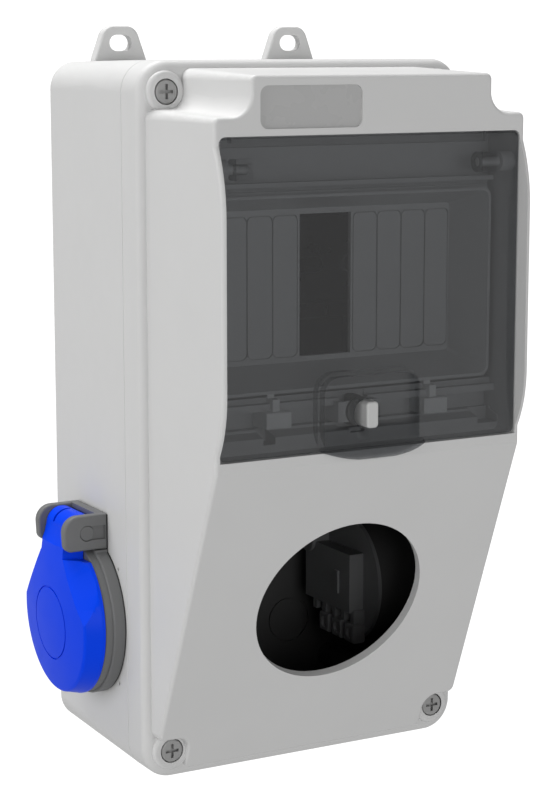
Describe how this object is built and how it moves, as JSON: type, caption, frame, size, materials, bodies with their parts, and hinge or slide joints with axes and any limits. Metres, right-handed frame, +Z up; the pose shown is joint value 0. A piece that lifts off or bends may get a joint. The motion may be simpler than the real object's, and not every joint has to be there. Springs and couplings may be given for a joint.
{
  "type": "industrial socket box",
  "caption": "Wall-mounted plastic socket box with a sloped front cut-out, a smoked hinged window over a modular row and a spring-lidded outlet on each side.",
  "frame": {"origin": "centre of the flat back face of the back box, on the wall", "axes": "+X to the right seen from the front, -Y out of the wall to the front, +Z up; the two outlets face -X and +X"},
  "size_m": [0.1488, 0.1182, 0.2494],
  "materials": {
    "box_shell": "fine matt texture, light grey",
    "cover_shell": "fine matt texture, light grey",
    "seal": "matt black",
    "cover_screw": "satin light grey plastic, cross recess",
    "frame": "satin light grey",
    "clip": "satin light grey",
    "zinc_steel": "zinc plated",
    "pin_steel": "satin light grey plastic",
    "window": "smoked, polished",
    "knob": "polished white grey",
    "cam": "satin",
    "outlet": "fine matt, mid grey",
    "carrier": "satin, dark grey",
    "contact": "plain",
    "earth": "tinned",
    "clamp": "dark passivated",
    "small_screw": "zinc plated",
    "flap_pin": "satin, mid grey",
    "flap": "semi-gloss blue",
    "spring": "bright"
  },
  "bodies": {
    "box": {"back_box": "box_shell", "cover_seal": "seal", "front_cover": "cover_shell", "cover_screw_upper_left": "cover_screw", "cover_screw_upper_right": "cover_screw", "cover_screw_lower_left": "cover_screw", "cover_screw_lower_right": "cover_screw", "module_frame": "frame", "frame_clip_left": "clip", "frame_clip_right": "clip", "mounting_rail": "zinc_steel", "rail_screw_left": "zinc_steel", "rail_screw_right": "zinc_steel", "lid_pin_left": "pin_steel", "lid_pin_right": "pin_steel", "outlet_body_left": "outlet", "outlet_carrier_left": "carrier", "contact_sleeve_rear_left": "contact", "contact_sleeve_front_left": "contact", "earth_contact_lower_left": "earth", "earth_contact_upper_left": "earth", "carrier_screw_left": "small_screw", "wire_clamp_1_left": "clamp", "wire_clamp_2_left": "clamp", "wire_clamp_3_left": "clamp", "outlet_seal_left": "seal", "flap_pin_left": "flap_pin", "flap_spring_left": "spring", "outlet_body_right": "outlet", "outlet_carrier_right": "carrier", "contact_sleeve_rear_right": "contact", "contact_sleeve_front_right": "contact", "earth_contact_lower_right": "earth", "earth_contact_upper_right": "earth", "carrier_screw_right": "small_screw", "wire_clamp_1_right": "clamp", "wire_clamp_2_right": "clamp", "wire_clamp_3_right": "clamp", "outlet_seal_right": "seal", "flap_pin_right": "flap_pin", "flap_spring_right": "spring"},
    "lid": {"window_lid": "window"},
    "latch": {"latch_knob": "knob", "latch_cam": "cam"},
    "flap_left": {"outlet_flap_left": "flap"},
    "flap_right": {"outlet_flap_right": "flap"}
  },
  "joints": [
    {"name": "window_lid_hinge", "type": "hinge", "parent": "box", "child": "lid", "pos_m": [0, -0.108, 0.0826], "axis": [-1, 0, 0], "range_deg": [0, 95]},
    {"name": "latch_turn", "type": "hinge", "parent": "lid", "child": "latch", "pos_m": [0, -0.108, 0.0068], "axis": [0, -1, 0], "range_deg": [0, 90]},
    {"name": "flap_left_hinge", "type": "hinge", "parent": "box", "child": "flap_left", "pos_m": [-0.0656, -0.0325, -0.0371], "axis": [0, 1, 0], "range_deg": [0, 110], "stiffness_Nm_per_rad": 0.02, "springref_deg": -28.65},
    {"name": "flap_right_hinge", "type": "hinge", "parent": "box", "child": "flap_right", "pos_m": [0.0656, -0.0325, -0.0371], "axis": [0, -1, 0], "range_deg": [0, 110], "stiffness_Nm_per_rad": 0.02, "springref_deg": -28.65}
  ]
}
